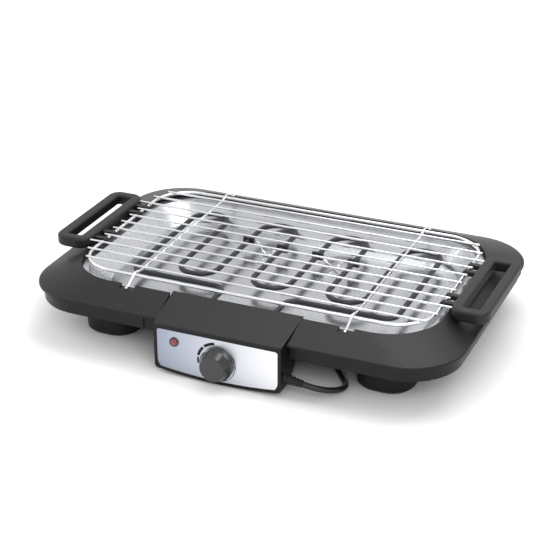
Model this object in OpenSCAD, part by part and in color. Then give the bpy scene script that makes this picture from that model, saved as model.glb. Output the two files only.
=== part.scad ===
// Tabletop electric grill: chromed wire rack over a tubular heating element and a bright drip tray,
// in a dark moulded surround on four feet. The control box carries the element and lifts out.
// Millimetres, +Z up. The front, with the knob, faces -Y.

/* [Base] */
// Length of the surround along X
base_length = 530; // [470:5:600]
// Depth of the surround along Y
base_depth = 362; // [330:2:420]
// Corner radius of the lip
base_corner = 70; // [50:1:80]
// Width of the sloped rim on each side
rim_width = 39; // [30:1:50]
// Height of the lip above the table
lip_height = 62; // [58:1:74]
// How far the rim rises from the lip to the well
rim_rise = 15; // [10:1:20]
// Height of the underside above the table
ground_gap = 42; // [32:1:46]
// Wall thickness of the mouldings
wall = 2.5; // [2:0.1:3]

/* [Tray] */
// Depth of the drip tray under its rim
tray_depth = 24; // [20:1:25]
// Sheet thickness of the tray
tray_sheet = 0.8; // [0.6:0.1:1.2]

/* [Element] */
// Diameter of the heating tube
tube_d = 6.5; // [5.5:0.1:8]
// Distance between neighbouring runs
run_pitch = 48; // [40:1:50]
// Gap between the tube and the tray floor
tube_lift = 11.2; // [9:0.2:13]

/* [Rack] */
// Diameter of the long wires
wire_d = 2.6; // [2:0.1:3.4]
// Number of long wires
wire_count = 11; // [9:2:13]
// Diameter of the frame wire
frame_d = 4; // [3:0.1:5]
// Gap between the rim of the well and the top of the long wires
rack_lift = 8.3; // [7.5:0.1:11]

/* [Handles] */
// Length of each handle along Y
handle_length = 154; // [130:2:180]
// Reach of each handle beyond the lip
handle_reach = 10; // [5:1:25]
// Width of the handle bars
handle_bar = 13.5; // [11:0.5:15]

/* [Control box] */
// Width of the box at its front
box_width = 156; // [140:2:180]
// Distance from the lip to the front of the box
box_reach = 12; // [12:0.5:20]
// Gap between the box and the table
box_gap = 1.5; // [1.5:0.5:6]
// Radius of the lower corners of the box
box_corner = 18; // [12:1:22]

/* [Knob] */
// Diameter of the knob at the panel
knob_d = 40; // [34:1:46]
// Depth of the knob
knob_depth = 15.7; // [12:0.1:20]

/* [Cord] */
// Diameter of the power cord
cord_d = 7; // [6:0.1:8]
// Mean radius of the coiled cord
coil_radius = 39; // [36:1:43]

/* [Hidden] */
slip = 0.2;            // gap between pieces that lie on one another
play = 0.05;           // radial play of a turning or sliding fit
weld = 0.3;            // bite of one wire into the next
base_x = base_length / 2;
base_y = base_depth / 2;
well_x = base_x - rim_width;
well_y = base_y - rim_width + 0.5;
well_r = base_corner - 4;
well_z = lip_height + rim_rise;
skirt_in = 6;          // the skirt stands in from the lip
skirt_x = base_x - skirt_in;
skirt_y = base_y - skirt_in;
skirt_r = base_corner - skirt_in;
pan_t = 2.2;
pan_top = ground_gap + pan_t;

// tray
rim_z = well_z - 6.5;                     // top of the tray rim
ledge_z = rim_z - tray_sheet - slip;      // top of the ledge that carries the tray
tray_gap = 1.5;                           // tray rim to the wall of the well
tray_rim = 6.5;
tray_x = well_x - tray_gap;
tray_y = well_y - tray_gap;
tray_r = well_r - tray_gap;
tray_in = tray_rim + 21;                  // tray rim to the fold of the floor
tray_floor = rim_z - tray_depth;          // upper face of the floor
ledge_w = 6;

// rack
rack_z = well_z + rack_lift - wire_d / 2;
frame_z = rack_z - wire_d / 2 - frame_d / 2 + weld;
frame_x = well_x - 9;
frame_y = well_y - 17;
frame_r = well_r - 18;
wire_over = 5;                            // long wires pass the frame wire
wire_pitch = 2 * (frame_y - 18) / (wire_count - 1);
cross_d = 3;
cross_x = frame_x * 0.6244;
cross_z = rack_z - wire_d / 2 - cross_d / 2 + weld;
saddle_in = 8.5;                          // saddle depth beyond the wall of the well
saddle_z = well_z - rim_rise * saddle_in / rim_width;
cross_end_z = saddle_z + slip + cross_d / 2;
notch_w = 18;

// handles
handle_out = base_x + handle_reach;
handle_in = well_x + 4;
handle_top = rack_z + 4.1;
handle_h = 14;                            // height of the bars
handle_z = handle_top - handle_h / 2;
bar_r = handle_bar / 2;
inner_bar_x = handle_in + bar_r;
outer_bar_x = handle_out - bar_r;
side_bar_y = handle_length / 2 - bar_r;
bar_edge = 3.5;                           // rounding of the bars
handle_bend = 8;                          // corners of the handle, at the middle of the bar

// control box
box_front = -(base_y + box_reach);
box_half = box_width / 2;
box_back = -(well_y - 6.5);               // the top plate reaches into the well
box_body_back = -(well_y + 5);            // the body stops short of the wall of the well
box_flare = 3;                            // the box is wider at the back
box_top_front = lip_height;
box_top_back = well_z - 0.7;
box_wall = 2.2;
top_round = 1.5;                          // bevel of the front edge of the top
top_step = 0.9;
seam = 1.2;                               // seam between box and surround
front_recess = 0.8;                       // panel pocket
front_wall = 2;
bezel = 4;
bow_r = 550;                              // the lower edge bows down
pocket_y = box_front + front_recess;
inside_y = pocket_y + front_wall;         // inner face of the front wall
overhang_z = rim_z + slip + 0.8;          // lower edge of the flange over the tray rim

// element
tube_z = tray_floor + tube_lift + tube_d / 2;
run_y = well_y - 54.3;                    // centres of the back arcs
arc_r = run_pitch / 2;
front_arc_y = -(well_y - 108.5);          // centres of the front arcs
lead_y = -(well_y - 65.5);                // front run that leads to the box
lead_r = 14;
lead_x = [-43, 37];
tube_end = box_body_back - 7;             // the tube ends inside the box

// knob and thermostat
knob_x = 1;
knob_z = (lip_height + box_gap) / 2 - 4;
panel_y = box_front + slip;
knob_back = panel_y - 0.5;
knob_front = knob_back - knob_depth;
shaft_d = 6;
bush_d = 9.6;
stat_d = 26;
nut_t = 2.5;

// lamp
lamp_x = -(box_half - 25.5);
lamp_z = knob_z + 16;
lamp_d = 9;

// cord
lip_play = 0.6;                           // the relief clears the lip by this as the unit lifts
relief_z = 23.5;
relief_w = 8;                             // narrow way of the relief, in front of the lip
relief_h = 12.5;
relief_y = -(base_y + lip_play + relief_w / 2);
relief_len = 22;
relief_tilt = 8;                          // the relief points a little down
// outer face of the side wall at distance y
function side_x(y) = box_half + box_flare * (y - box_front) / (box_back - box_front);
relief_x = side_x(relief_y) + 0.25;
block_x = 36;                             // terminal block
block_z = 45;
high_z = block_z + 11;                    // height at which the wires cross the box
cover_screw_x = box_half - 12;
clamp_x = box_half - 29;                  // cord clamp
clamp_y = box_front + 7.5;
clamp_z = block_z - 21.5;
clamp_gap = 8.5;                          // its screws stand this far above and below the cord
inner_cord_end = clamp_x - 2;
cord_r = cord_d / 2;
floor_z = cord_r + 0.1;

// feet
pod_half_x = 36;
pod_half_y = 44;
pod_r = 30;
pod_x = base_x - 92;
pod_y = base_y - 83;
pad_t = 3;
pad_d = 36;
pad_show = 1.2;                           // the pad stands this far out of its recess

// the whole object is centred on its own box, without the cord
y_shift = -(base_y + knob_front) / 2;

post_at = [
    for (sx = [-1, 1], sy = [-1, 1]) [sx * (base_x - 22.5), sy * 45],
    for (sx = [-1, 1], sy = [-1, 1]) [sx * (base_x - 80), sy * (base_y - 22.5)]
];

black = [0.09, 0.09, 0.1];
satin = [0.16, 0.16, 0.16];
steel = [0.78, 0.79, 0.81];
chrome = [0.86, 0.87, 0.88];
bright = [0.8, 0.8, 0.81];
dark = [0.24, 0.24, 0.25];
rubber = [0.06, 0.06, 0.06];
brass = [0.8, 0.66, 0.35];
cream = [0.88, 0.86, 0.8];
red = [0.6, 0.07, 0.05];
white = [0.92, 0.92, 0.9];

// ---- shared shapes ----

// Rounded rectangle from its half sizes
module rounded(hx, hy, r) {
    square([2 * (hx - r), 2 * hy], center = true);
    square([2 * hx, 2 * (hy - r)], center = true);
    for (sx = [-1, 1], sy = [-1, 1])
        translate([sx * (hx - r), sy * (hy - r)])
            circle(r, $fn = 64);
}

// Rounded rectangle ring, inset from the outer edge by thickness t
module ring(hx, hy, r, t) {
    difference() {
        rounded(hx, hy, r);
        rounded(hx - t, hy - t, r - t);
    }
}

// Wire with rounded bends through a list of points. The reference must not lie along the wire.
module bent_wire(points, d, sides = 8, reference = [0, 0, 1]) {
    tube_along(smooth(points, 4), d, sides, reference);
}

// Cylinder along Y from y = a to y = b
module along_y(x, z, a, b, d) {
    translate([x, b, z])
        rotate([90, 0, 0])
            cylinder(h = b - a, d = d, $fn = 48);
}

module screw(head_d, head_t, shank_d, length) {
    cylinder(h = head_t, d = head_d, $fn = 24);
    cylinder(h = length, d = shank_d, $fn = 16);
}

// ---- base ----

module rim_solid(drop) {
    hull() {
        translate([0, 0, lip_height - wall - drop])
            linear_extrude(wall - 1)
                rounded(base_x, base_y, base_corner);
        translate([0, 0, lip_height - 0.4 - drop])
            linear_extrude(0.4)
                rounded(base_x - 0.9, base_y - 0.9, base_corner - 0.9);
        translate([0, 0, well_z - 1 - drop])
            linear_extrude(1)
                rounded(well_x, well_y, well_r);
    }
}

// Plan of the control box, grown by g
module box_plan(g) {
    polygon([
        [-(box_half + box_flare + g), box_back + g],
        [box_half + box_flare + g, box_back + g],
        [box_half + g, box_front - g],
        [-(box_half + g), box_front - g]
    ]);
}

module base_surround() color(satin) {
    bridge_top = tube_z - tube_d / 2 - 2.5;
    cheek_x = box_half + box_flare + 2.3;
    difference() {
        union() {
            difference() {
                rim_solid(0);
                rim_solid(wall);
            }
            translate([0, 0, ground_gap])
                linear_extrude(lip_height + 0.4 - ground_gap)
                    ring(skirt_x, skirt_y, skirt_r, wall);
            translate([0, 0, ledge_z - wall])
                linear_extrude(well_z - 1.5 - ledge_z + wall)
                    ring(well_x + wall, well_y + wall, well_r + wall, wall + 0.01);
            translate([0, 0, ledge_z - wall])
                linear_extrude(wall)
                    ring(well_x + 0.5, well_y + 0.5, well_r + 0.5, ledge_w + 0.5);
            translate([0, 0, ledge_z - 7])
                linear_extrude(7 - wall / 2)
                    ring(well_x - ledge_w + 2, well_y - ledge_w + 2, well_r - ledge_w + 2, 2);
            for (sx = [-1, 1], sy = [-1, 1])
                translate([sx * cross_x - notch_w / 2 - 2,
                    sy > 0 ? well_y : -well_y - saddle_in, saddle_z - 5])
                    cube([notch_w + 4, saddle_in, 5]);
        }
        // open well
        translate([0, 0, ledge_z])
            linear_extrude(rim_rise + 20)
                rounded(well_x, well_y, well_r);
        // seat of the control box
        translate([0, 0, ground_gap - 1])
            linear_extrude(rim_rise + 60)
                box_plan(seam);
        // notches for the ends of the cross wires
        for (sx = [-1, 1], sy = [-1, 1])
            translate([sx * cross_x - notch_w / 2,
                sy > 0 ? well_y - 1 : -well_y - saddle_in - 6, saddle_z])
                cube([notch_w, saddle_in + 7, 10]);
        // shallow panels beside the control box
        for (s = [-1, 1])
            translate([s * (box_half + 14) - 8.5, -skirt_y - 1, ground_gap - 1])
                cube([17, 2.3, lip_height - ground_gap - 3]);
    }
    // bridge behind the control box, and the cheeks that tie it to the skirt
    translate([-cheek_x - wall, -well_y - wall, pan_top])
        cube([2 * (cheek_x + wall), wall, bridge_top - pan_top]);
    for (s = [-1, 1])
        translate([s > 0 ? cheek_x : -cheek_x - wall, -skirt_y + 0.5, pan_top])
            cube([wall, skirt_y - well_y - 0.5, lip_height + 1.5 - pan_top]);
    // posts for the pan screws
    for (p = post_at)
        translate([p[0], p[1], pan_top])
            difference() {
                cylinder(h = lip_height + 7 - pan_top, d = 9, $fn = 32);
                translate([0, 0, -1])
                    cylinder(h = 14, d = 3.1, $fn = 24);
            }
}

module bottom_pan() color(dark) {
    difference() {
        translate([0, 0, ground_gap])
            linear_extrude(pan_t)
                rounded(skirt_x - wall - 0.3, skirt_y - wall - 0.3, skirt_r - wall - 0.3);
        translate([-box_half - box_flare - seam, -base_y, ground_gap - 1])
            cube([2 * (box_half + box_flare + seam), base_y - well_y - wall - 0.6, pan_t + 2]);
        for (sx = [-2 : 2], sy = [-1, 0, 1])
            translate([sx * 46 - 15, sy * 34 - 2.5, ground_gap - 1])
                cube([30, 5, pan_t + 2]);
        for (p = post_at)
            translate([p[0], p[1], ground_gap - 1])
                cylinder(h = pan_t + 2, d = 3.6, $fn = 24);
    }
}

// Plan of one foot: one broad outer corner and three small ones
module pod_plan(g) {
    translate([pod_x, pod_y])
        rounded(pod_half_x - g, pod_half_y - g, pod_r - g);
}

module foot_pods() color(black) {
    for (sx = [0, 1], sy = [0, 1])
        mirror([sx, 0, 0])
            mirror([0, sy, 0])
                difference() {
                    hull() {
                        translate([0, 0, pad_show])
                            linear_extrude(1)
                                pod_plan(5);
                        translate([0, 0, pad_show + 3])
                            linear_extrude(1)
                                pod_plan(2);
                        translate([0, 0, ground_gap - 1])
                            linear_extrude(1)
                                pod_plan(0);
                    }
                    translate([pod_x, pod_y, 0])
                        cylinder(h = pad_t, d = pad_d + 0.2, $fn = 48);
                }
}

module foot_pads() color(rubber) {
    for (sx = [-1, 1], sy = [-1, 1])
        translate([sx * pod_x, sy * pod_y, 0])
            cylinder(h = pad_t, d = pad_d, $fn = 48);
}

module base_screws() color(steel) {
    for (p = post_at)
        translate([p[0], p[1], ground_gap - 1.8])
            screw(6.5, 1.8, 3, 14);
}

// ---- tray ----

module tray_bowl(inset, drop) {
    hull() {
        translate([0, 0, rim_z - 0.1 - drop])
            linear_extrude(0.1 + 2 * drop)
                rounded(tray_x - tray_rim - inset, tray_y - tray_rim - inset, tray_r - tray_rim - inset);
        translate([0, 0, tray_floor - tray_sheet + drop])
            linear_extrude(0.1)
                rounded(tray_x - tray_in - inset, tray_y - tray_in - inset, tray_r - tray_in + 12 - inset);
    }
}

module drip_tray() color(bright) {
    difference() {
        union() {
            tray_bowl(0, 0);
            translate([0, 0, rim_z - tray_sheet])
                linear_extrude(tray_sheet)
                    rounded(tray_x, tray_y, tray_r);
        }
        tray_bowl(tray_sheet, tray_sheet);
        // slots in the front wall for the two leads of the element
        for (x = lead_x)
            translate([x - 7, -well_y - 1, tube_z - tube_d / 2 - 1.2])
                cube([14, 26, tray_depth]);
    }
}

// ---- control box ----

// Front outline, inset by g: rounded lower corners and a bowed lower edge
module box_face(g) {
    h = box_half + box_flare - g;
    floor_y = box_gap + g;
    r = box_corner - g;
    intersection() {
        union() {
            translate([-h, floor_y + r])
                square([2 * h, 90]);
            translate([-(h - r), floor_y])
                square([2 * (h - r), 90]);
            for (s = [-1, 1])
                translate([s * (h - r), floor_y + r])
                    circle(r, $fn = 64);
        }
        // bow: an arc through the middle of the lower edge
        translate([0, floor_y + bow_r])
            circle(bow_r, $fn = 360);
    }
}

// Height of the sloping top at distance y
function top_z(y) =
    let (rise = box_top_back - box_top_front - top_step, run = box_back - box_front - top_round)
    box_top_front + top_step + rise * (y - box_front - top_round) / run;

// Side outline as (y, z), inset by g. Only the outer one has the flange over the tray.
module box_side(g) {
    lower = box_gap - 1 + g;
    drop = g * 1.03;
    back = box_body_back - g;
    flange = g > 0
        ? [[back, top_z(back) - drop]]
        : [[box_back, box_top_back], [box_back, overhang_z], [back, overhang_z]];
    polygon(concat(
        [
            [box_front + g, lower],
            [box_front + g, box_top_front - drop],
            [box_front + g + top_round, top_z(box_front + g + top_round) - drop]
        ],
        flange,
        [
            [back, ground_gap - 3 + g * 0.6],
            [back - 16, 20 + g],
            [box_front + 11 + g * 0.5, lower]
        ]
    ));
}

module box_solid(g) {
    intersection() {
        translate([0, 0, -1])
            linear_extrude(100)
                box_plan(-g);
        rotate([90, 0, 0])
            translate([0, 0, -box_back - 10])
                linear_extrude(90)
                    box_face(g);
        rotate([90, 0, 90])
            translate([0, 0, -120])
                linear_extrude(240)
                    box_side(g);
    }
}

// The part of the shell that the screwed cover takes, inset by g
module cover_zone(g) {
    half = box_half - box_wall - 1 - g;
    translate([-half, box_front + 13 + g, -1])
        cube([2 * half, 60, ground_gap + 14]);
    translate([-half, box_body_back - 5, -1])
        cube([2 * half, 20, overhang_z - 2 - g]);
}

module control_housing() color(satin) {
    boss_y = box_body_back - 3 - 5;
    difference() {
        union() {
            difference() {
                box_solid(0);
                intersection() {
                    box_solid(box_wall);
                    translate([-120, inside_y, -5])
                        cube([240, 90, 120]);
                }
            }
            // ribs that the cover screws bite into
            for (s = [-1, 1])
                intersection() {
                    box_solid(1);
                    translate([s * cover_screw_x - 5, boss_y - 4, 52])
                        cube([10, 9.5, 30]);
                }
        }
        cover_zone(0);
        // hollow under the flange over the tray
        rotate([90, 0, 90])
            translate([0, 0, -(box_half - 2)])
                linear_extrude(2 * (box_half - 2))
                    polygon([
                        [box_body_back + 0.3, overhang_z - 1],
                        [box_back - box_wall, overhang_z - 1],
                        [box_back - box_wall, top_z(box_back - box_wall) - box_wall],
                        [box_body_back + 0.3, overhang_z + 0.1]
                    ]);
        // pocket for the front panel
        translate([0, box_front + front_recess, 0])
            rotate([90, 0, 0])
                linear_extrude(10)
                    panel_outline(0);
        along_y(knob_x, knob_z, box_front - 1, inside_y + 1, bush_d + 2 * play);
        along_y(lamp_x, lamp_z, box_front - 1, inside_y + 1, lamp_d + 0.4);
        // way out for the cord
        translate([box_half - 8, relief_y, relief_z])
            rotate([0, 90, 0])
                linear_extrude(20)
                    relief_plan(0.1, 3.4);
        for (s = [-1, 1])
            translate([s * cover_screw_x, boss_y, 50])
                cylinder(h = 12, d = 2.7, $fn = 20);
    }
    // posts of the cord clamp on the front wall
    for (s = [-1, 1])
        difference() {
            along_y(clamp_x, clamp_z + s * clamp_gap, inside_y - 0.3, clamp_y + 3.6, 6);
            along_y(clamp_x, clamp_z + s * clamp_gap, inside_y + 0.4, clamp_y + 4, 2.2);
        }
}

module control_cover() color(black) {
    difference() {
        intersection() {
            difference() {
                box_solid(0);
                box_solid(box_wall);
            }
            cover_zone(slip);
        }
        for (x = lead_x)
            along_y(x, tube_z, box_body_back - 4, box_body_back + 2, tube_d + 0.2);
    }
    // tabs under the ribs of the housing
    for (s = [-1, 1])
        difference() {
            translate([s * cover_screw_x - 6, box_body_back - 14, 49.6])
                cube([12, 12.8, 2.2]);
            translate([s * cover_screw_x, box_body_back - 8, 49])
                cylinder(h = 4, d = 3.1, $fn = 20);
        }
}

module cover_screws() color(steel) {
    for (s = [-1, 1])
        translate([s * cover_screw_x, box_body_back - 8, 49.6 - 1.6])
            screw(5.5, 1.6, 2.6, 12);
}

// Outline of the front panel as (x, z), inset by g
module panel_outline(g) {
    top = box_top_front - 4.6 - g;
    h = box_half - bezel - g;
    low = box_gap + bezel - 0.4 + g;
    r = box_corner - bezel - g;
    intersection() {
        union() {
            translate([-h, low + r])
                square([2 * h, top - low - r - 3]);
            translate([-(h - r), low])
                square([2 * (h - r), top - low]);
            translate([-(h - 3), low + r])
                square([2 * (h - 3), top - low - r]);
            for (s = [-1, 1])
                translate([s * (h - r), low + r])
                    circle(r, $fn = 64);
            for (s = [-1, 1])
                translate([s * (h - 3), top - 3])
                    circle(3, $fn = 32);
        }
        translate([0, low + bow_r])
            circle(bow_r, $fn = 360);
    }
}

module front_panel() color(steel) {
    difference() {
        translate([0, box_front + front_recess, 0])
            rotate([90, 0, 0])
                linear_extrude(front_recess - slip)
                    panel_outline(0.1);
        along_y(knob_x, knob_z, box_front - 1, inside_y, bush_d + 0.4);
        along_y(lamp_x, lamp_z, box_front - 1, inside_y, lamp_d + 0.4);
    }
}

// One mark of the scale: an arc as (from angle, to angle, gap to the knob, width)
module scale_arc(mark) {
    r = knob_d / 2 + mark[2];
    steps = 8;
    turn = (mark[1] - mark[0]) / steps;
    polygon([
        for (i = [0 : steps]) let (a = mark[0] + turn * i) (r + mark[3]) * [cos(a), sin(a)],
        for (i = [steps : -1 : 0]) let (a = mark[0] + turn * i) r * [cos(a), sin(a)]
    ]);
}

module panel_scale() color(black) {
    marks = [[98, 131, 2.6, 3.4], [136, 166, 2.6, 3.2], [171, 190, 2.9, 2.2], [11, 29, 1.6, 0.8],
        [-12, 7, 1.6, 0.8], [-50, -16, 1.6, 0.8], [-82, -55, 1.6, 0.8]];
    translate([knob_x, panel_y, knob_z])
        rotate([90, 0, 0])
            linear_extrude(0.15)
                for (m = marks)
                    scale_arc(m);
}

module lamp_bezel() color(black) {
    difference() {
        union() {
            along_y(lamp_x, lamp_z, panel_y - 1.2, panel_y, lamp_d + 2.2);
            along_y(lamp_x, lamp_z, panel_y - 0.1, inside_y + 4, lamp_d);
        }
        along_y(lamp_x, lamp_z, panel_y - 2, inside_y + 5, lamp_d - 1.6);
    }
}

module lamp_lens() color(red) {
    d = lamp_d - 1.6;
    along_y(lamp_x, lamp_z, panel_y - 1.2, inside_y + 1, d);
    translate([lamp_x, panel_y - 1.2, lamp_z])
        rotate([90, 0, 0])
            intersection() {
                translate([0, 0, 1.5 - d * 0.75])
                    sphere(d = d * 1.5, $fn = 48);
                cylinder(h = 3, d = d, $fn = 48);
            }
}

module neon_lamp() color([0.9, 0.6, 0.4]) {
    along_y(lamp_x, lamp_z, inside_y + 1, inside_y + 9, 5);
    translate([lamp_x, inside_y + 9, lamp_z])
        sphere(d = 5, $fn = 24);
}

module thermostat() color(cream) {
    body_end = inside_y + 12;
    difference() {
        union() {
            along_y(knob_x, knob_z, inside_y, body_end, stat_d);
            along_y(knob_x, knob_z, panel_y - nut_t - 1.4, inside_y + 1, bush_d);
            for (s = [-1, 1])
                translate([knob_x + s * 7 - 2.4, body_end - 3, knob_z + 9])
                    cube([4.8, 0.8, 10]);
        }
        along_y(knob_x, knob_z, panel_y - 10, inside_y + 6, shaft_d + 2 * play);
    }
}

module thermostat_nut() color(steel) {
    difference() {
        translate([knob_x, panel_y - 0.02, knob_z])
            rotate([90, 0, 0])
                cylinder(h = nut_t, d = 15, $fn = 6);
        along_y(knob_x, knob_z, panel_y - 10, panel_y + 1, bush_d);
    }
}

module thermostat_shaft() color(brass) {
    along_y(knob_x, knob_z, knob_front + 4, inside_y + 5.7, shaft_d);
}

module control_knob() color(black) {
    face_r = knob_d * 0.355;
    skirt = 5;
    translate([knob_x, knob_back, knob_z])
        rotate([90, 0, 0])
            rotate_extrude($fn = 96)
                polygon([
                    [shaft_d / 2, 4.4], [shaft_d / 2 + 2.6, 4.4], [shaft_d / 2 + 2.6, knob_depth - 5],
                    [knob_d / 2 - 5.5, knob_depth - 6], [knob_d / 2 - 2, skirt - 2], [knob_d / 2 - 2, 0],
                    [knob_d / 2, 0], [knob_d / 2, skirt],
                    [knob_d / 2 - 0.8, skirt + 0.9],
                    [face_r + 0.8, knob_depth - 0.5], [face_r, knob_depth],
                    [0, knob_depth], [0, knob_depth - 4], [shaft_d / 2, knob_depth - 4]
                ]);
}

module knob_pointer() color(white) {
    // short line on the skirt of the knob, at the off mark
    translate([knob_x, knob_back, knob_z])
        rotate([0, -178, 0])
            translate([knob_d / 2 - 0.2, -4.6, -0.7])
                cube([0.5, 4.2, 1.4]);
}

module terminal_block() color(cream) {
    difference() {
        translate([block_x - 15, inside_y, block_z - 6])
            cube([30, 11, 12]);
        for (i = [-1, 0, 1]) {
            translate([block_x + i * 9, inside_y + 5.5, block_z - 7])
                cylinder(h = 14, d = 3.2, $fn = 20);
            along_y(block_x + i * 9, block_z, inside_y + 4, inside_y + 12, 4);
        }
    }
}

// Wires from the terminal block to the thermostat, the element, the lamp, the cover and the cord
module lead_wires() color([0.75, 0.75, 0.72]) {
    block_y = inside_y + 5.5;
    tab_y = inside_y + 9.6;
    tab_z = knob_z + 17;
    pin_y = tube_end - 8;
    low_z = block_z - 4;
    block_top = block_z + 3;
    bent_wire([
        [block_x - 9, block_y, block_top], [block_x - 9, block_y, high_z - 3],
        [block_x - 14, block_y + 2, high_z], [knob_x + 14, tab_y - 1, high_z],
        [knob_x + 7, tab_y, high_z - 3], [knob_x + 7, tab_y, tab_z]
    ], 2.4, 6, [0, 1, 0]);
    bent_wire([
        [knob_x - 7, tab_y, tab_z], [knob_x - 7, tab_y, high_z - 3],
        [lead_x[0] + 20, tab_y + 2, high_z], [lead_x[0] + 4, pin_y - 2, high_z + 2],
        [lead_x[0], pin_y + 3, tube_z]
    ], 2.4, 6, [0.3, 1, 0.2]);
    bent_wire([
        [block_x + 9, block_y, block_top], [block_x + 9, block_y, high_z - 3],
        [block_x + 4, block_y + 5, high_z + 2], [lead_x[1], pin_y - 2, tube_z],
        [lead_x[1], pin_y + 3, tube_z]
    ], 2.4, 6, [1, 0.2, 0.1]);
    bent_wire([
        [lamp_x, inside_y + 10.5, lamp_z], [lamp_x + 8, inside_y + 14, lamp_z + 4],
        [lamp_x + 20, inside_y + 14.5, high_z - 5.5], [block_x - 20, inside_y + 14.5, high_z - 5.5],
        [block_x - 8, inside_y + 14, block_z + 4], [block_x - 4.5, inside_y + 10, block_z + 2]
    ], 1.6, 6, [0, 0.2, 1]);
    bent_wire([
        [block_x, block_y, block_top], [block_x, block_y, high_z - 2],
        [block_x - 12, block_y + 6, high_z + 1], [10, tube_end - 3, high_z + 1],
        [0, box_body_back - 6.4, tube_z - 3]
    ], 2.2, 6, [0.2, 1, 0]);
    for (i = [-1, 0, 1])
        bent_wire([
            [block_x + i * 9, block_y, low_z], [block_x + i * 9, block_y, low_z - 4],
            [block_x + i * 3.4 + 3, clamp_y + i * 1.5, clamp_z + 3],
            [inner_cord_end - 0.2, clamp_y + i * 2.1, clamp_z]
        ], 1.9, 6, [0, 1, 0.1]);
}

module thermal_fuse() color(brass) {
    // sleeve on the wire to the thermostat
    translate([knob_x + 17, inside_y + 8.6, high_z])
        rotate([0, 90, 0])
            cylinder(h = 8, d = 4.4, $fn = 24);
}

module inner_cord() color(rubber) {
    bent_wire([
        [inner_cord_end, clamp_y, clamp_z], [clamp_x + 5, clamp_y, clamp_z],
        [relief_x - 11, relief_y, relief_z], [relief_x - 4.6, relief_y, relief_z]
    ], cord_d - 0.4, 16);
}

module cord_clamp() color(cream) {
    difference() {
        union() {
            translate([clamp_x - 4, clamp_y + 3.7, clamp_z - 12])
                cube([8, 2.6, 24]);
            translate([clamp_x - 4, clamp_y + 3, clamp_z - 3])
                cube([8, 1, 6]);
        }
        for (s = [-1, 1])
            along_y(clamp_x, clamp_z + s * clamp_gap, clamp_y + 3, clamp_y + 8, 2.8);
    }
}

module clamp_screws() color(steel) {
    for (s = [-1, 1]) {
        along_y(clamp_x, clamp_z + s * clamp_gap, clamp_y + 6.3, clamp_y + 7.8, 5);
        along_y(clamp_x, clamp_z + s * clamp_gap, clamp_y - 0.5, clamp_y + 6.4, 2.2);
    }
}

// Section of the relief as (z, y): narrow in Y, tall in Z
module relief_plan(g, trim) {
    w = relief_w / 2 + g;
    tall = (relief_h - trim) / 2 + g;
    square([2 * (tall - w), 2 * w], center = true);
    for (s = [-1, 1])
        translate([s * (tall - w), 0])
            circle(w, $fn = 32);
}

module strain_relief() color(rubber) {
    ribs = 5;
    rib = 2.6;
    step = 4.4;
    translate([relief_x, relief_y, relief_z])
        rotate([0, relief_tilt, 0]) {
            translate([1.2, 0, 0])
                rotate([0, 90, 0])
                    cylinder(h = relief_len - 1.2, d = relief_w - 0.2, $fn = 32);
            for (i = [0 : ribs - 1])
                translate([i * step + 1.7, 0, 0])
                    rotate([0, 90, 0])
                        linear_extrude(rib)
                            relief_plan(0, i * 0.9);
        }
    // neck through the wall, and the collar that locks it inside
    translate([relief_x - 4.5, relief_y, relief_z])
        rotate([0, 90, 0]) {
            linear_extrude(6.2)
                relief_plan(0, 3.4);
            linear_extrude(1.8)
                relief_plan(-0.2, 0.6);
        }
}

// ---- element ----

module tube_arc(x, y, r, from) {
    translate([x, y, tube_z])
        rotate([0, 0, from])
            rotate_extrude(angle = 180, $fn = 64)
                translate([r, 0])
                    circle(d = tube_d, $fn = 20);
}

module tube_corner(x, y, r, from) {
    translate([x, y, tube_z])
        rotate([0, 0, from])
            rotate_extrude(angle = 90, $fn = 64)
                translate([r, 0])
                    circle(d = tube_d, $fn = 20);
}

module tube_x(y, a, b) {
    translate([a, y, tube_z])
        rotate([0, 90, 0])
            cylinder(h = b - a, d = tube_d, $fn = 20);
}

module heating_tube() color(dark) {
    side_x = run_pitch * 3.5;
    for (i = [0 : 7]) {
        x = (i - 3.5) * run_pitch;
        outer = i == 0 || i == 7;
        along_y(x, tube_z, outer ? lead_y + lead_r : front_arc_y, run_y, tube_d);
    }
    for (i = [-3, -1, 1, 3])
        tube_arc(i * run_pitch, run_y, arc_r, 0);
    for (i = [-2, 0, 2])
        tube_arc(i * run_pitch, front_arc_y, arc_r, 180);
    tube_corner(-side_x + lead_r, lead_y + lead_r, lead_r, 180);
    tube_corner(side_x - lead_r, lead_y + lead_r, lead_r, 270);
    tube_x(lead_y, -side_x + lead_r, lead_x[0] - lead_r);
    tube_x(lead_y, lead_x[1] + lead_r, side_x - lead_r);
    tube_corner(lead_x[0] - lead_r, lead_y - lead_r, lead_r, 0);
    tube_corner(lead_x[1] + lead_r, lead_y - lead_r, lead_r, 90);
    for (x = lead_x)
        along_y(x, tube_z, tube_end, lead_y - lead_r, tube_d);
}

module tube_seals() color(cream) {
    for (x = lead_x)
        difference() {
            along_y(x, tube_z, tube_end - 3, tube_end, tube_d + 0.8);
            along_y(x, tube_z, tube_end - 4, tube_end + 1, 2.6);
        }
}

module tube_terminals() color(steel) {
    for (x = lead_x)
        along_y(x, tube_z, tube_end - 9, tube_end, 2.5);
}

module tube_flange() color(steel) {
    // plate against the inner face of the cover that both leads are crimped into
    y = box_body_back - box_wall;
    difference() {
        translate([lead_x[0] - 12, y - 1.2 - slip, tube_z - 9])
            cube([lead_x[1] - lead_x[0] + 24, 1.2, 16]);
        for (x = lead_x)
            along_y(x, tube_z, y - 3, y + 1, tube_d);
    }
}

// Places of the clamps along the element: run, then distance along Y
clamp_at = [[-1.5, 55], [-0.5, 50], [1.5, 46], [0.5, 48]];

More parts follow.
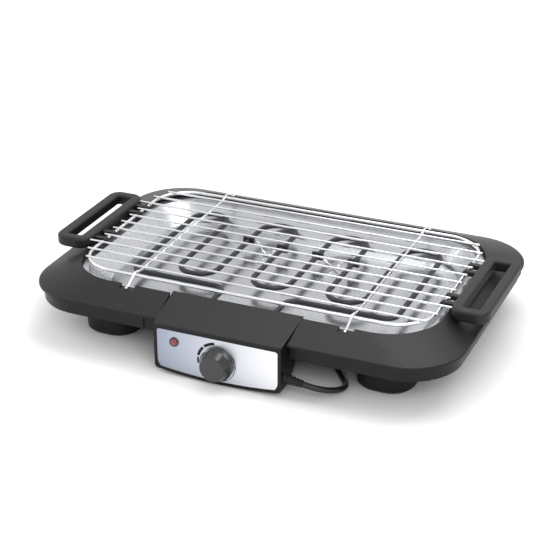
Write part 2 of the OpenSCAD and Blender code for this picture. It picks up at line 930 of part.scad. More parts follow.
// Dark blocks that hold the tube to the wire legs
module tube_clamps() color(dark) {
    for (c = clamp_at)
        difference() {
            translate([c[0] * run_pitch - 7, c[1] - 2.2, tube_z - tube_d / 2 - 1.4])
                cube([14, 4.4, tube_d + 2.4]);
            along_y(c[0] * run_pitch, tube_z, c[1] - 5, c[1] + 5, tube_d);
        }
}

// Bright wire legs: each hangs from two clamps down to the tray floor
module tube_legs() color(chrome) {
    d = 2.6;
    top = tube_z - 0.5;
    low = tray_floor + slip + d / 2;
    for (c = [[clamp_at[0], clamp_at[1], 1], [clamp_at[2], clamp_at[3], -1]]) {
        from = c[0][0] * run_pitch + c[2] * 6;
        to = c[1][0] * run_pitch - c[2] * 6;
        step = (to - from) / 5;
        bent_wire([
            [from, c[0][1], top], [from + step * 1.2, c[0][1] - 1, top],
            [from + step * 2, c[0][1] - 2, low + 3], [from + step * 2.9, c[1][1] - 1, low],
            [from + step * 3.8, c[1][1], low + 4], [to, c[1][1], top]
        ], d, 10, [0, 1, 0]);
    }
}

module earth_tag() color(brass) {
    y = box_body_back - box_wall - 1.2 - slip;
    translate([-4, y - 0.8, tube_z - 8])
        cube([8, 0.8, 10]);
    along_y(0, tube_z - 3, y - 3, y - 0.8, 5);
}

// ---- rack ----

module rack_frame() color(chrome) {
    sx = frame_x - frame_r;
    sy = frame_y - frame_r;
    for (s = [-1, 1]) {
        translate([s * frame_x, -sy, frame_z])
            rotate([-90, 0, 0])
                cylinder(h = 2 * sy, d = frame_d, $fn = 20);
        translate([-sx, s * frame_y, frame_z])
            rotate([0, 90, 0])
                cylinder(h = 2 * sx, d = frame_d, $fn = 20);
    }
    for (i = [0 : 3])
        translate([(i == 0 || i == 3 ? 1 : -1) * sx, (i < 2 ? 1 : -1) * sy, frame_z])
            rotate([0, 0, i * 90])
                rotate_extrude(angle = 90, $fn = 64)
                    translate([frame_r, 0])
                        circle(d = frame_d, $fn = 20);
}

// How far a long wire at distance y reaches: just past the frame wire
function wire_reach(y) =
    let (over = max(0, abs(y) - (frame_y - frame_r)))
    frame_x - frame_r + sqrt(frame_r * frame_r - over * over) + wire_over;

module rack_long_wires() color(chrome) {
    for (i = [0 : wire_count - 1]) {
        y = (i - (wire_count - 1) / 2) * wire_pitch;
        near = abs(abs(y) - 3 * wire_pitch) < 1;
        reach = near ? inner_bar_x + 1 : wire_reach(y);
        translate([-reach, y, rack_z])
            rotate([0, 90, 0])
                cylinder(h = 2 * reach, d = wire_d, $fn = 16);
    }
}

module rack_cross_wires() color(chrome) {
    over_z = frame_z + frame_d / 2 + cross_d / 2 - weld;
    for (sx = [-1, 1])
        bent_wire([
            [sx * cross_x, -well_y - 6.5, cross_end_z],
            [sx * cross_x, -well_y - 2, cross_end_z],
            [sx * cross_x, -frame_y - 3, over_z],
            [sx * cross_x, -frame_y + 3, over_z],
            [sx * cross_x, -frame_y + 15, cross_z],
            [sx * cross_x, frame_y - 15, cross_z],
            [sx * cross_x, frame_y - 3, over_z],
            [sx * cross_x, frame_y + 3, over_z],
            [sx * cross_x, well_y + 2, cross_end_z],
            [sx * cross_x, well_y + 6.5, cross_end_z]
        ], cross_d, 12, [1, 0, 0]);
}

// Section of a handle bar
module bar_section() {
    rounded(bar_r, handle_h / 2, bar_edge);
}

// Handle on the +X side
module handle() {
    wire_y = 3 * wire_pitch;
    hook_r = frame_d / 2 + 1.8;
    hook_w = 6.4;
    mid_x = (inner_bar_x + outer_bar_x) / 2;
    half = (outer_bar_x - inner_bar_x) / 2;
    rim_slope = rim_rise / rim_width;
    difference() {
        union() {
            translate([mid_x, 0, handle_z]) {
                for (s = [-1, 1]) {
                    translate([s * half, side_bar_y - handle_bend, 0])
                        rotate([90, 0, 0])
                            linear_extrude(2 * (side_bar_y - handle_bend))
                                bar_section();
                    translate([-(half - handle_bend), s * side_bar_y, 0])
                        rotate([90, 0, 90])
                            linear_extrude(2 * (half - handle_bend))
                                bar_section();
                }
                for (i = [0 : 3])
                    translate([(i == 0 || i == 3 ? 1 : -1) * (half - handle_bend),
                        (i < 2 ? 1 : -1) * (side_bar_y - handle_bend), 0])
                        rotate([0, 0, i * 90])
                            rotate_extrude(angle = 90, $fn = 64)
                                translate([handle_bend, 0])
                                    bar_section();
            }
            // hooks that grip the frame wire
            for (y = [-1.55, -2.45, 1.55, 2.45]) {
                translate([frame_x, y * wire_pitch - hook_w / 2, frame_z - 2.6])
                    cube([inner_bar_x - frame_x, hook_w, 5.6]);
                along_y(frame_x, frame_z, y * wire_pitch - hook_w / 2,
                    y * wire_pitch + hook_w / 2, 2 * hook_r);
            }
        }
        // the underside stays clear of the sloped rim
        rotate([90, 0, 0])
            translate([0, 0, -handle_length])
                linear_extrude(2 * handle_length)
                    polygon([
                        [well_x - 2, well_z + 2 * rim_slope + 0.6],
                        [base_x + 2, lip_height - 2 * rim_slope + 0.6],
                        [base_x + 2, lip_height - 20],
                        [well_x - 2, lip_height - 20]
                    ]);
        along_y(frame_x, frame_z, -side_bar_y, side_bar_y, frame_d);
        for (s = [-1, 1])
            translate([frame_x, s * wire_y, rack_z])
                rotate([0, 90, 0])
                    cylinder(h = inner_bar_x + 1 - frame_x, d = wire_d + 2 * play, $fn = 24);
        // holes of the pins that lock the wires
        for (s = [-1, 1])
            translate([inner_bar_x - 2, s * wire_y, handle_z - handle_h / 2 - 1])
                cylinder(h = rack_z - handle_z + handle_h / 2 + 0.5, d = 3, $fn = 24);
    }
}

module handle_right() color(satin) handle();

module handle_left() color(satin) mirror([1, 0, 0]) handle();

module handle_pins() color(steel) {
    top = rack_z - wire_d / 2 + 0.1;
    low = handle_z - handle_h / 2 + 2.2;
    for (sx = [-1, 1], sy = [-1, 1])
        translate([sx * (inner_bar_x - 2), sy * 3 * wire_pitch, low])
            cylinder(h = top - low - 0.3, d = 2.9, $fn = 24);
}

// ---- cord ----

coil_x = 22;
coil_y = -32;
coil_pitch = cord_d + 0.6;
coil_turns = 2;
coil_out = coil_radius + coil_turns * coil_pitch / 2;
coil_in = coil_radius - coil_turns * coil_pitch / 2;
layer_z = floor_z + cord_d + 0.6;
relief_end = relief_x + relief_len * cos(relief_tilt);
relief_drop = relief_len * sin(relief_tilt);
approach = [cos(relief_tilt), 0, -sin(relief_tilt)];
relief_tip = [relief_end, relief_y, relief_z - relief_drop];

// The cord leaves the relief, turns round to the back as it sinks to the table, and meets the coil
turn_r = 32.5;
meet_r = 34;
turn_at = [relief_tip[0] + 4, relief_y + turn_r];
meet_at = [coil_x + coil_out + meet_r, coil_y - 8];
between = meet_at - turn_at;
leave = atan2(between[1], between[0]) + asin((turn_r + meet_r) / norm(between));
drop_run = 80;                            // length of cord over which it sinks
drop_slope = tan(relief_tilt) * drop_run;

// Height of the cord at length s from the relief
function sink(s) =
    let (t = min(1, s / drop_run), q = t * t, c = q * t)
    floor_z + (2 * c - 3 * q + 1) * (relief_tip[2] - floor_z) - (c - 2 * q + t) * drop_slope;

turn_end = turn_at + turn_r * [sin(leave), -cos(leave)];
meet_start = meet_at + meet_r * [-sin(leave), cos(leave)];

lead_route = [
    relief_tip + 0.5 * approach,
    for (i = [0 : 8])
        let (h = leave * i / 8)
        [turn_at[0] + turn_r * sin(h), turn_at[1] - turn_r * cos(h), sink(4 + turn_r * h * PI / 180)],
    for (i = [1 : 7])
        let (at = turn_end + (meet_start - turn_end) * i / 8)
        [at[0], at[1], floor_z],
    for (i = [3 : -1 : 0])
        let (h = 90 + (leave - 90) * i / 3)
        [meet_at[0] - meet_r * sin(h), meet_at[1] + meet_r * cos(h), floor_z]
];

tail_route = [
    [coil_x - coil_out, coil_y - cord_d - 0.2, layer_z],
    [coil_x - coil_out - 0.5, coil_y - 18, layer_z - 0.4],
    [coil_x - coil_out - 4, coil_y - 31, 10],
    [coil_x - coil_out - 12, coil_y - 43, 9],
    [coil_x - coil_out - 23, coil_y - 51, 8.6],
    [coil_x - coil_out - 36, coil_y - 54, 8.6],
    [coil_x - coil_out - 43, coil_y - 54, 8.6]
];

function coil_r(a) =
    a < 360 * coil_turns ? coil_out - coil_pitch * a / 360
    : a < 360 * coil_turns + 180 ? coil_in - 1.5 * sin(a - 360 * coil_turns)
    : coil_in + coil_pitch * (a - 360 * coil_turns - 180) / 360;

function coil_z(a) =
    floor_z + (layer_z - floor_z) * min(1, max(0, (a - 360 * coil_turns) / 180));

coil_end = 720 * coil_turns + 180;
coil_path = [
    [coil_x + coil_out, coil_y - 8, floor_z],
    for (a = [0 : 15 : coil_end])
        [coil_x + coil_r(a) * cos(a), coil_y + coil_r(a) * sin(a), coil_z(a)],
    [coil_x - coil_out, coil_y - cord_d - 0.2, layer_z]
];

// Direction of the curve at point i, as long as the shorter span beside it
function heading(p, i) =
    i == 0 ? p[1] - p[0]
    : i == len(p) - 1 ? p[i] - p[i - 1]
    : unit(p[i + 1] - p[i - 1]) * min(norm(p[i + 1] - p[i]), norm(p[i] - p[i - 1]));

// Smooth curve through hand-placed points, with n steps a span
function smooth(p, n) = [
    for (i = [0 : len(p) - 2], j = [0 : n - 1])
        let (t = j / n, q = t * t, c = q * t)
        (2 * c - 3 * q + 1) * p[i] + (c - 2 * q + t) * heading(p, i)
            + (3 * q - 2 * c) * p[i + 1] + (c - q) * heading(p, i + 1),
    p[len(p) - 1]
];

function unit(v) = v / norm(v);

// Closed tube of n sides through the points of a path
module tube_along(path, d, n, reference = [0, 0, 1]) {
    last = len(path) - 1;
    rings = [
        for (i = [0 : last])
            let (
                t = unit(path[min(last, i + 1)] - path[max(0, i - 1)]),
                side = unit(cross(t, reference)),
                up = cross(side, t)
            )
            for (k = [0 : n - 1])
                let (a = 360 * (k + 0.5) / n)
                path[i] + d / 2 * (cos(a) * side + sin(a) * up)
    ];
    polyhedron(
        points = rings,
        faces = [
            [for (k = [0 : n - 1]) k],
            for (i = [0 : last - 1], k = [0 : n - 1])
                [i * n + k, (i + 1) * n + k, (i + 1) * n + (k + 1) % n, i * n + (k + 1) % n],
            [for (k = [n - 1 : -1 : 0]) last * n + k]
        ],
        convexity = 8
    );
}

module power_cord() color(rubber) {
    tube_along(smooth(lead_route, 2), cord_d, 8);
    tube_along(smooth(tail_route, 2), cord_d, 8);
}

module cord_coil() color(rubber) {
    tube_along(coil_path, cord_d, 6);
}

plug_x = coil_x - coil_out - 43.2;
plug_y = coil_y - 54;
plug_z = 8.6;

module mains_plug() color(black) {
    translate([plug_x, plug_y, plug_z])
        rotate([0, -90, 0]) {
            cylinder(h = 14, d = 9.5, $fn = 32);
            for (i = [0 : 2])
                translate([0, 0, 1 + i * 4])
                    cylinder(h = 2, d = 12, $fn = 32);
            translate([0, 0, 13])
                linear_extrude(26)
                    polygon([[-7, -12], [-5, -14], [5, -14], [7, -12], [7, 12], [5, 14], [-5, 14], [-7, 12]]);
            translate([0, 0, 36])
                linear_extrude(8)
                    polygon([[-8.2, -11], [-3, -17.5], [3, -17.5], [8.2, -11],
                        [8.2, 11], [3, 17.5], [-3, 17.5], [-8.2, 11]]);
        }
}

module plug_pins() color(steel) {
    for (p = [[0, -9.5], [2.8, 0], [0, 9.5]])
        translate([plug_x - 44, plug_y + p[1], plug_z + p[0]])
            rotate([0, -90, 0])
                cylinder(h = 19, d = 4, $fn = 24);
}

// ---- measured on points: the least gap between passes of the coil ----
coil_gap = min([
    for (i = [1 : len(coil_path) - 10], j = [i + 8 : len(coil_path) - 1])
        norm(coil_path[i] - coil_path[j]) - cord_d
]);
function path_length(p) = len(p) < 2 ? 0 : norm(p[1] - p[0])
    + path_length([for (i = [1 : len(p) - 1]) p[i]]);
echo(least_coil_gap = coil_gap);
echo(cord_length = path_length(smooth(lead_route, 2)) + path_length(smooth(tail_route, 2))
    + path_length(coil_path));

// ---- everything in the frame of the whole object ----
module place() {
    translate([0, y_shift, 0])
        children();
}

place() base_surround();
place() bottom_pan();
place() foot_pods();
place() foot_pads();
place() base_screws();
place() drip_tray();
place() control_housing();
place() control_cover();
place() cover_screws();
place() front_panel();
place() panel_scale();
place() lamp_bezel();
place() lamp_lens();
place() neon_lamp();
place() thermostat();
place() thermostat_nut();
place() terminal_block();
place() lead_wires();
place() thermal_fuse();
place() cord_clamp();
place() clamp_screws();
place() inner_cord();
place() strain_relief();
place() heating_tube();
place() tube_seals();
place() tube_terminals();
place() tube_flange();
place() tube_clamps();
place() tube_legs();
place() earth_tag();
place() control_knob();
place() knob_pointer();
place() thermostat_shaft();
place() rack_frame();
place() rack_long_wires();
place() rack_cross_wires();
place() handle_left();
place() handle_right();
place() handle_pins();
place() power_cord();
place() cord_coil();
place() mains_plug();
place() plug_pins();
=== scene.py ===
import bpy, bmesh, math
from mathutils import Matrix, Vector


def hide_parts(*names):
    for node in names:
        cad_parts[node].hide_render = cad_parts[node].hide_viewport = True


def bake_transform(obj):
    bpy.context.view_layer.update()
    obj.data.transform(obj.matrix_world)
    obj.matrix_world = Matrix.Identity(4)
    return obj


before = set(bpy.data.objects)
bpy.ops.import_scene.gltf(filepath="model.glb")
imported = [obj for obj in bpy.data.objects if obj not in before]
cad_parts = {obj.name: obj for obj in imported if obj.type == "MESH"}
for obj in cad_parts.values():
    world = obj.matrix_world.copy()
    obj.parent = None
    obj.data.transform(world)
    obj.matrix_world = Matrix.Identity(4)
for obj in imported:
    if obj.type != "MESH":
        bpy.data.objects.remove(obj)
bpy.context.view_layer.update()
print("frame loaded", len(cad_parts), "nodes")

rackCentre = Vector((0, 0.014, 0.084))  # middle of the rack, in the plane of the long wires


# camera, placed from the photograph
cameraSpec = {"lens": 97.79, "sensor": 36.0, "azimuth": 23.267, "elevation": 26.156, "distance": 1.83015,
              "aside": -0.00545, "above": -0.0355}

def placeCamera(spec):
    a, e = math.radians(spec["azimuth"]), math.radians(spec["elevation"])
    back = Vector((math.sin(a) * math.cos(e), -math.cos(a) * math.cos(e), math.sin(e)))
    right = Vector((math.cos(a), math.sin(a), 0))
    up = back.cross(right)
    data = bpy.data.cameras.new("studioCamera")
    data.lens = spec["lens"]
    data.sensor_width = spec["sensor"]
    data.sensor_fit = "HORIZONTAL"
    data.clip_start, data.clip_end = 0.1, 50
    camera = bpy.data.objects.new("studioCamera", data)
    bpy.context.scene.collection.objects.link(camera)
    place = rackCentre + back * spec["distance"] + right * spec["aside"] + up * spec["above"]
    turn = Matrix((right, up, back)).transposed().to_4x4()
    camera.matrix_world = Matrix.Translation(place) @ turn
    bpy.context.scene.camera = camera

placeCamera(cameraSpec)
print("camera placed")


# small helpers
def finishMesh(name, work, smooth=True, angle=35):
    mesh = bpy.data.meshes.new(name)
    work.to_mesh(mesh)
    work.free()
    if smooth:
        for face in mesh.polygons:
            face.use_smooth = True
        mesh.set_sharp_from_angle(angle=math.radians(angle))
    piece = bpy.data.objects.new(name, mesh)
    bpy.context.scene.collection.objects.link(piece)
    return piece


# power cord: the same route as the CAD cord, in metres
cordSpec = {"diameter": 0.007, "coilCentre": (0.022, -0.018), "coilRadius": 0.039, "pitch": 0.0076,
            "turns": 2, "straight": 0.004, "tilt": 8,
            "low": 0.0036, "sides": 16, "tip": (0.10092, -0.1716, 0.02037), "tipHigh": 0.020438, "run": 0.08,
            "turnAt": (0.104425, -0.1391), "turnR": 0.0325, "meetAt": (0.1026, -0.026), "meetR": 0.034}

def hermite(points, steps):
    def heading(i):
        if i == 0:
            return points[1] - points[0]
        if i == len(points) - 1:
            return points[i] - points[i - 1]
        ahead, behind = points[i + 1] - points[i], points[i] - points[i - 1]
        return (ahead + behind).normalized() * min(ahead.length, behind.length)
    line = []
    for i in range(len(points) - 1):
        for j in range(steps):
            t = j / steps
            q, c = t * t, t * t * t
            line.append((2 * c - 3 * q + 1) * points[i] + (c - 2 * q + t) * heading(i)
                        + (3 * q - 2 * c) * points[i + 1] + (c - q) * heading(i + 1))
    line.append(points[-1].copy())
    return line

def cordSink(spec, gone):
    # height of the cord after so much length: leaves along the strain relief, ends level on the table
    t = min(1, gone / spec["run"])
    q, c = t * t, t * t * t
    fall = math.tan(math.radians(spec["tilt"])) * spec["run"]
    return (2 * c - 3 * q + 1) * spec["tipHigh"] - (c - 2 * q + t) * fall + (3 * q - 2 * c) * spec["low"]

def cordRoute(spec):
    tx, ty = spec["turnAt"]
    mx, my = spec["meetAt"]
    turnR, meetR = spec["turnR"], spec["meetR"]
    leave = math.atan2(my - ty, mx - tx) + math.asin((turnR + meetR) / math.hypot(mx - tx, my - ty))
    lead = [Vector(spec["tip"])]
    for i in range(9):  # turn towards the back
        h = leave * i / 8
        high = cordSink(spec, spec["straight"] + turnR * h)
        lead.append(Vector((tx + turnR * math.sin(h), ty - turnR * math.cos(h), high)))
    first = Vector((tx + turnR * math.sin(leave), ty - turnR * math.cos(leave), 0))
    last = Vector((mx - meetR * math.sin(leave), my + meetR * math.cos(leave), 0))
    for i in range(1, 8):
        flat = first.lerp(last, i / 8)
        gone = spec["straight"] + turnR * leave + (flat - first).length
        lead.append(Vector((flat.x, flat.y, cordSink(spec, gone))))
    for i in range(4):
        h = math.pi / 2 + (leave - math.pi / 2) * (3 - i) / 3
        lead.append(Vector((mx - meetR * math.sin(h), my + meetR * math.cos(h), spec["low"])))
    cx, cy = spec["coilCentre"]
    outer = spec["coilRadius"] + spec["turns"] * spec["pitch"] / 2
    inner = spec["coilRadius"] - spec["turns"] * spec["pitch"] / 2
    turned = 360 * spec["turns"]
    coil = []
    for a in range(0, 2 * turned + 181, 15):
        if a < turned:
            radius = outer - spec["pitch"] * a / 360
        elif a < turned + 180:
            radius = inner - 0.0015 * math.sin(math.radians(a - turned))
        else:
            radius = inner + spec["pitch"] * (a - turned - 180) / 360
        rise = spec["pitch"] * min(1, max(0, (a - turned) / 180))
        coil.append(Vector((cx + radius * math.cos(math.radians(a)), cy + radius * math.sin(math.radians(a)),
                            spec["low"] + rise)))
    top = spec["low"] + spec["pitch"]
    tail = [Vector(p) for p in (
        (cx - outer, cy - 0.0072, top), (cx - outer - 0.0005, cy - 0.018, top - 0.0004),
        (cx - outer - 0.004, cy - 0.031, 0.010), (cx - outer - 0.012, cy - 0.043, 0.009),
        (cx - outer - 0.023, cy - 0.051, 0.0086), (cx - outer - 0.036, cy - 0.054, 0.0086),
        (cx - outer - 0.0432, cy - 0.054, 0.0086))]
    return hermite(lead, 3) + hermite(coil, 2) + hermite(tail, 3)

def tubeAlong(name, line, radius, sides):
    # a ring of vertices at each point, bridged to the next
    work = bmesh.new()
    before = None
    for i, point in enumerate(line):
        ahead = (line[min(len(line) - 1, i + 1)] - line[max(0, i - 1)]).normalized()
        across = ahead.cross(Vector((0, 0, 1))).normalized()
        turn = Matrix((across, across.cross(ahead) * -1, ahead)).transposed().to_4x4()
        place = Matrix.Translation(point) @ turn
        ring = bmesh.ops.create_circle(work, segments=sides, radius=radius, matrix=place)
        edges = list({e for v in ring["verts"] for e in v.link_edges})
        if before:
            bmesh.ops.bridge_loops(work, edges=before + edges)
        else:
            bmesh.ops.contextual_create(work, geom=ring["verts"])
        before = edges
    bmesh.ops.contextual_create(work, geom=ring["verts"])
    bmesh.ops.recalc_face_normals(work, faces=work.faces)
    return finishMesh(name, work)

def makeCord(spec):
    line = cordRoute(spec)
    line = [p for i, p in enumerate(line) if i == 0 or (p - line[i - 1]).length > 0.0004]
    cord = tubeAlong("cordSheath", line, spec["diameter"] / 2, spec["sides"])
    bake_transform(cord)
    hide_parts("power_cord", "cord_coil")
    return cord

cordSheath = makeCord(cordSpec)


# materials
def hexColour(text):
    # sRGB hex to linear
    parts = [int(text[i:i + 2], 16) / 255 for i in (1, 3, 5)]
    return [c / 12.92 if c <= 0.04045 else ((c + 0.055) / 1.055) ** 2.4 for c in parts] + [1.0]

def addNode(material, kind, place, inputs=None, **settings):
    node = material.node_tree.nodes.new(kind)
    node.location = place
    for key, value in settings.items():
        setattr(node, key, value)
    for key, value in (inputs or {}).items():
        node.inputs[key].default_value = value
    return node

def newMaterial(name):
    material = bpy.data.materials.new(name)
    material.use_nodes = True
    shader = material.node_tree.nodes["Principled BSDF"]
    return material, shader, material.node_tree.links.new

# moulded or coated surface: two close tones in soft patches, fine grain in roughness and bump, and optional
# painted shade on faces that look sideways
def mouldedSurface(name, tones, rough, grain=1400, depth=0.00004, metal=0.0, coat=0.0, specular=0.5, patch=14,
                   paintedSideShade=None):
    material, shader, link = newMaterial(name)
    shader.inputs["Metallic"].default_value = metal
    shader.inputs["Coat Weight"].default_value = coat
    shader.inputs["Coat Roughness"].default_value = 0.12
    shader.inputs["Specular IOR Level"].default_value = specular
    place = addNode(material, "ShaderNodeTexCoord", (-1100, 0))
    cloud = addNode(material, "ShaderNodeTexNoise", (-850, 200), {"Scale": patch, "Detail": 3.0})
    tone = addNode(material, "ShaderNodeMix", (-400, 200), data_type="RGBA")
    tone.inputs[6].default_value = hexColour(tones[0])
    tone.inputs[7].default_value = hexColour(tones[1])
    fine = addNode(material, "ShaderNodeTexNoise", (-850, -150), {"Scale": grain, "Detail": 2.0})
    spread = addNode(material, "ShaderNodeMapRange", (-400, -100), {"To Min": rough[0], "To Max": rough[1]})
    bump = addNode(material, "ShaderNodeBump", (-300, -350), {"Strength": 0.5, "Distance": depth})
    link(place.outputs["Object"], cloud.inputs["Vector"])
    link(place.outputs["Object"], fine.inputs["Vector"])
    link(cloud.outputs["Fac"], tone.inputs["Factor"])
    link(tone.outputs[2], shader.inputs["Base Color"])
    if paintedSideShade:  # painted shade: faces that look sideways take a darker tone
        facing = addNode(material, "ShaderNodeSeparateXYZ", (-850, 450))
        turn = addNode(material, "ShaderNodeMapRange", (-620, 450), {"From Min": 0.15, "From Max": 0.8})
        paintedLightMix = addNode(material, "ShaderNodeMix", (-180, 300), data_type="RGBA")
        paintedLightMix.inputs[6].default_value = hexColour(paintedSideShade)
        link(place.outputs["Normal"], facing.inputs["Vector"])
        link(facing.outputs["Z"], turn.inputs["Value"])
        link(turn.outputs["Result"], paintedLightMix.inputs["Factor"])
        link(tone.outputs[2], paintedLightMix.inputs[7])
        link(paintedLightMix.outputs[2], shader.inputs["Base Color"])
    link(fine.outputs["Fac"], spread.inputs["Value"])
    link(spread.outputs["Result"], shader.inputs["Roughness"])
    link(fine.outputs["Fac"], bump.inputs["Height"])
    link(bump.outputs["Normal"], shader.inputs["Normal"])
    return material

# brushed or rolled metal: long streaks along one axis, with an optional painted reflection tone towards the
# left end
def streakedMetal(name, tones, rough, stretch, depth=0.00002, metal=1.0, paintedLeftReflection=None, reach=0.07):
    material, shader, link = newMaterial(name)
    shader.inputs["Metallic"].default_value = metal
    place = addNode(material, "ShaderNodeTexCoord", (-1300, 0))
    along = addNode(material, "ShaderNodeMapping", (-1100, 0), {"Scale": stretch})
    streak = addNode(material, "ShaderNodeTexNoise", (-850, 0),
                     {"Scale": 1.0, "Detail": 4.0, "Roughness": 0.6})
    cloud = addNode(material, "ShaderNodeTexNoise", (-850, 300), {"Scale": 9.0, "Detail": 2.0})
    tone = addNode(material, "ShaderNodeMix", (-400, 200), data_type="RGBA")
    tone.inputs[6].default_value = hexColour(tones[0])
    tone.inputs[7].default_value = hexColour(tones[1])
    blend = addNode(material, "ShaderNodeMath", (-620, 180), operation="MULTIPLY")
    spread = addNode(material, "ShaderNodeMapRange", (-400, -100),
                     {"From Min": 0.3, "From Max": 0.7, "To Min": rough[0], "To Max": rough[1]})
    bump = addNode(material, "ShaderNodeBump", (-300, -350), {"Strength": 0.4, "Distance": depth})
    link(place.outputs["Object"], along.inputs["Vector"])
    link(place.outputs["Object"], cloud.inputs["Vector"])
    link(along.outputs["Vector"], streak.inputs["Vector"])
    link(streak.outputs["Fac"], blend.inputs[0])
    link(cloud.outputs["Fac"], blend.inputs[1])
    link(blend.outputs["Value"], tone.inputs["Factor"])
    link(tone.outputs[2], shader.inputs["Base Color"])
    if paintedLeftReflection:  # painted reflection: tone at the left end, fading out across x
        split = addNode(material, "ShaderNodeSeparateXYZ", (-850, 520))
        run = addNode(material, "ShaderNodeMapRange", (-620, 520), {"From Min": -reach, "From Max": reach})
        paintedLightMix = addNode(material, "ShaderNodeMix", (-180, 300), data_type="RGBA")
        paintedLightMix.inputs[6].default_value = hexColour(paintedLeftReflection)
        link(place.outputs["Object"], split.inputs["Vector"])
        link(split.outputs["X"], run.inputs["Value"])
        link(run.outputs["Result"], paintedLightMix.inputs["Factor"])
        link(tone.outputs[2], paintedLightMix.inputs[7])
        link(paintedLightMix.outputs[2], shader.inputs["Base Color"])
    link(streak.outputs["Fac"], spread.inputs["Value"])
    link(spread.outputs["Result"], shader.inputs["Roughness"])
    link(streak.outputs["Fac"], bump.inputs["Height"])
    link(bump.outputs["Normal"], shader.inputs["Normal"])
    return material

# heat-proof moulding of surround and box: near black, soft broad sheen, with painted shade darkening its
# sides
satinPhenolic = mouldedSurface("satinPhenolic", ("#161618", "#1b1b1d"), (0.36, 0.46),
                               specular=0.26, paintedSideShade="#0b0b0c")
# black coated steel sheet: flat and almost without sheen
coatedSheet = mouldedSurface("coatedSheet", ("#161617", "#1c1c1d"), (0.5, 0.62), specular=0.3)
# handles and plug: fine grain that breaks the highlight
grainedNylon = mouldedSurface("grainedNylon", ("#151516", "#1d1d1e"), (0.42, 0.55),
                              grain=1000, depth=0.00006, specular=0.35)
# feet: as the handles, duller, and darker with painted shade
shadedPodNylon = mouldedSurface("shadedPodNylon", ("#101011", "#161617"), (0.45, 0.58), grain=1000, specular=0.25)
# knob: glossy near black with a crisp reflection
polishedKnob = mouldedSurface("polishedKnob", ("#121215", "#19191d"), (0.13, 0.2),
                              depth=0.000006, coat=0.5)
# pads and strain relief: matt, no clear highlight
mattRubber = mouldedSurface("mattRubber", ("#101011", "#171717"), (0.6, 0.75), specular=0.3)
# cord: a thin even highlight along its length
pvcSheath = mouldedSurface("pvcSheath", ("#131315", "#18181a"), (0.34, 0.44),
                           depth=0.00002, specular=0.4)
# chromed rack wire: mirror bright
platedWire = streakedMetal("platedWire", ("#e8e9eb", "#f7f7f8"), (0.07, 0.13), (60, 60, 60), 0.000003)
# rolled bright sheet: broad soft reflections drawn along its length
brightTray = streakedMetal("brightTray", ("#bcbec1", "#d9dadc"), (0.2, 0.3), (3, 60, 60), 0.000003)
# brushed steel: fine level streaks, with a painted reflection that is bluer on the left and white on the
# right
brushedPanel = streakedMetal("brushedPanel", ("#e3e4e8", "#f4f5f7"), (0.28, 0.38), (6, 60, 900),
                             paintedLeftReflection="#9aa1b0")
# heat-darkened tube: satin grey with faint cloudy patches
heatedTube = mouldedSurface("heatedTube", ("#2e2f32", "#393a3e"), (0.34, 0.44), metal=0.5, patch=40)
# coated clamps: dull dark metal
clampSteel = mouldedSurface("clampSteel", ("#1d1e20", "#27282a"), (0.45, 0.6), metal=0.4)
# zinc-plated fasteners: pale satin metal
zincScrew = streakedMetal("zincScrew", ("#9fa2a6", "#c4c6c9"), (0.25, 0.4), (300, 300, 300))
# brass shaft and tags: warm satin metal
turnedBrass = streakedMetal("turnedBrass", ("#b0904e", "#d1b370"), (0.2, 0.32), (300, 300, 300))
# thermostat, block and seals: chalky off-white
firedCeramic = mouldedSurface("firedCeramic", ("#ded9cc", "#cfc9ba"), (0.6, 0.75), grain=500)
# woven wire sleeve: soft grey white with a fine grain
glassSleeve = mouldedSurface("glassSleeve", ("#d9d8d3", "#c9c8c2"), (0.6, 0.7), grain=1800)
# lamp lens: deep clear red with a sharp highlight
redLens = mouldedSurface("redLens", ("#6e0805", "#8c0f09"), (0.06, 0.1), depth=0.000003, coat=1.0)
# ring of the lamp: darker red than the lens
redBezel = mouldedSurface("redBezel", ("#2c0708", "#390a0a"), (0.18, 0.26), depth=0.000005, coat=0.4)
# neon tube: pale warm glass
neonGlass = mouldedSurface("neonGlass", ("#e8b49a", "#f0c4ad"), (0.1, 0.15), depth=0.000005)
# printed scale: flat black
printBlack = mouldedSurface("printBlack", ("#08080a", "#0c0c0e"), (0.4, 0.5), specular=0.2)
# pointer line: flat white
printWhite = mouldedSurface("printWhite", ("#dcdcd8", "#e8e8e4"), (0.45, 0.55))

nodeMaterials = {
    "base_surround": satinPhenolic, "bottom_pan": coatedSheet, "foot_pods": shadedPodNylon, "foot_pads": mattRubber,
    "base_screws": zincScrew, "drip_tray": brightTray, "control_housing": satinPhenolic,
    "control_cover": coatedSheet, "cover_screws": zincScrew, "front_panel": brushedPanel,
    "panel_scale": printBlack, "lamp_bezel": redBezel, "lamp_lens": redLens, "neon_lamp": neonGlass,
    "thermostat": firedCeramic, "thermostat_nut": zincScrew, "terminal_block": firedCeramic,
    "lead_wires": glassSleeve, "thermal_fuse": turnedBrass, "cord_clamp": firedCeramic,
    "clamp_screws": zincScrew,
    "inner_cord": pvcSheath, "strain_relief": mattRubber, "heating_tube": heatedTube,
    "tube_seals": firedCeramic,
    "tube_terminals": zincScrew, "tube_flange": zincScrew, "tube_clamps": clampSteel, "tube_legs": platedWire,
    "earth_tag": turnedBrass, "control_knob": polishedKnob, "knob_pointer": printWhite,
    "thermostat_shaft": turnedBrass, "rack_frame": platedWire, "rack_long_wires": platedWire,
    "rack_cross_wires": platedWire, "handle_left": grainedNylon, "handle_right": grainedNylon,
    "handle_pins": zincScrew, "power_cord": pvcSheath, "cord_coil": pvcSheath, "mains_plug": grainedNylon,
    "plug_pins": zincScrew,
}

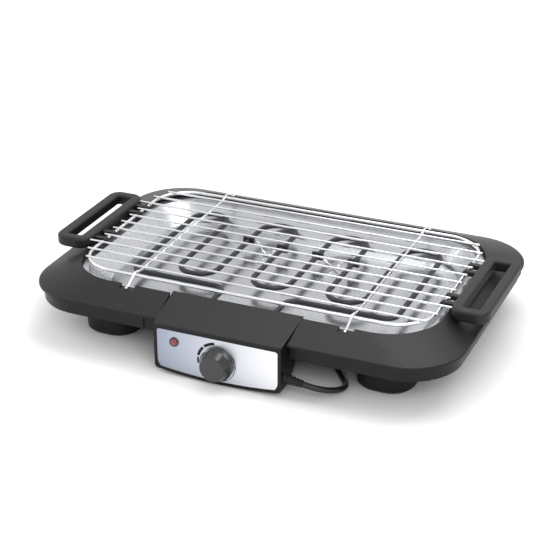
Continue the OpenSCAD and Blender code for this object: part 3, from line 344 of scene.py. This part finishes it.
def paintNodes():
    for name, material in nodeMaterials.items():
        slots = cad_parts[name].data.materials
        if len(slots):
            for i in range(len(slots)):
                slots[i] = material
        else:
            slots.append(material)
    print("CAD nodes painted", len(nodeMaterials))

paintNodes()
cordSheath.data.materials.append(pvcSheath)


# studio: white floor and world, soft lamps
studioSpec = {"floor": 30, "floorTone": "#f8f8f8", "world": 0.8}

def makeStudio(spec):
    work = bmesh.new()
    bmesh.ops.create_grid(work, x_segments=1, y_segments=1, size=spec["floor"])
    floor = finishMesh("studioFloor", work, smooth=False)
    material, shader, link = newMaterial("studioPaper")  # plain white sheet
    shader.inputs["Base Color"].default_value = hexColour(spec["floorTone"])
    shader.inputs["Roughness"].default_value = 0.9
    floor.data.materials.append(material)
    world = bpy.data.worlds.new("studioWorld")
    bpy.context.scene.world = world
    world.use_nodes = True
    tree = world.node_tree
    light = tree.nodes["Background"]
    light.inputs["Strength"].default_value = spec["world"]
    light.inputs["Color"].default_value = (1, 1, 1, 1)
    seen = tree.nodes.new("ShaderNodeBackground")
    seen.inputs["Strength"].default_value = 1.0
    seen.inputs["Color"].default_value = (1, 1, 1, 1)
    path = tree.nodes.new("ShaderNodeLightPath")
    anyRay = tree.nodes.new("ShaderNodeMath")
    anyRay.operation = "MAXIMUM"
    shinyRay = tree.nodes.new("ShaderNodeMath")
    shinyRay.operation = "MAXIMUM"
    mix = tree.nodes.new("ShaderNodeMixShader")
    tree.links.new(path.outputs["Is Camera Ray"], anyRay.inputs[0])
    tree.links.new(path.outputs["Is Transmission Ray"], anyRay.inputs[1])
    tree.links.new(anyRay.outputs[0], shinyRay.inputs[0])
    tree.links.new(path.outputs["Is Glossy Ray"], shinyRay.inputs[1])
    tree.links.new(shinyRay.outputs[0], mix.inputs[0])
    tree.links.new(light.outputs[0], mix.inputs[1])
    tree.links.new(seen.outputs[0], mix.inputs[2])
    tree.links.new(mix.outputs[0], tree.nodes["World Output"].inputs["Surface"])

def areaLamp(name, place, aim, size, power):
    data = bpy.data.lights.new(name, "AREA")
    data.shape = "RECTANGLE"
    data.size, data.size_y = size
    data.energy = power
    lamp = bpy.data.objects.new(name, data)
    lamp.location = place
    lamp.rotation_euler = (Vector(place) - Vector(aim)).to_track_quat("Z", "Y").to_euler()
    bpy.context.scene.collection.objects.link(lamp)

makeStudio(studioSpec)
areaLamp("topSoftbox", (0.2, 0.5, 1.6), (0, 0, 0.05), (1.6, 1.1), 16)
areaLamp("frontSoftbox", (0.9, -1.4, 1.2), (0, 0, 0.05), (1.2, 0.8), 12)
areaLamp("sideStrip", (-1.5, -0.3, 0.9), (0, 0, 0.05), (0.4, 1.4), 6)
bpy.context.scene.view_settings.view_transform = "Standard"
print("studio ready")
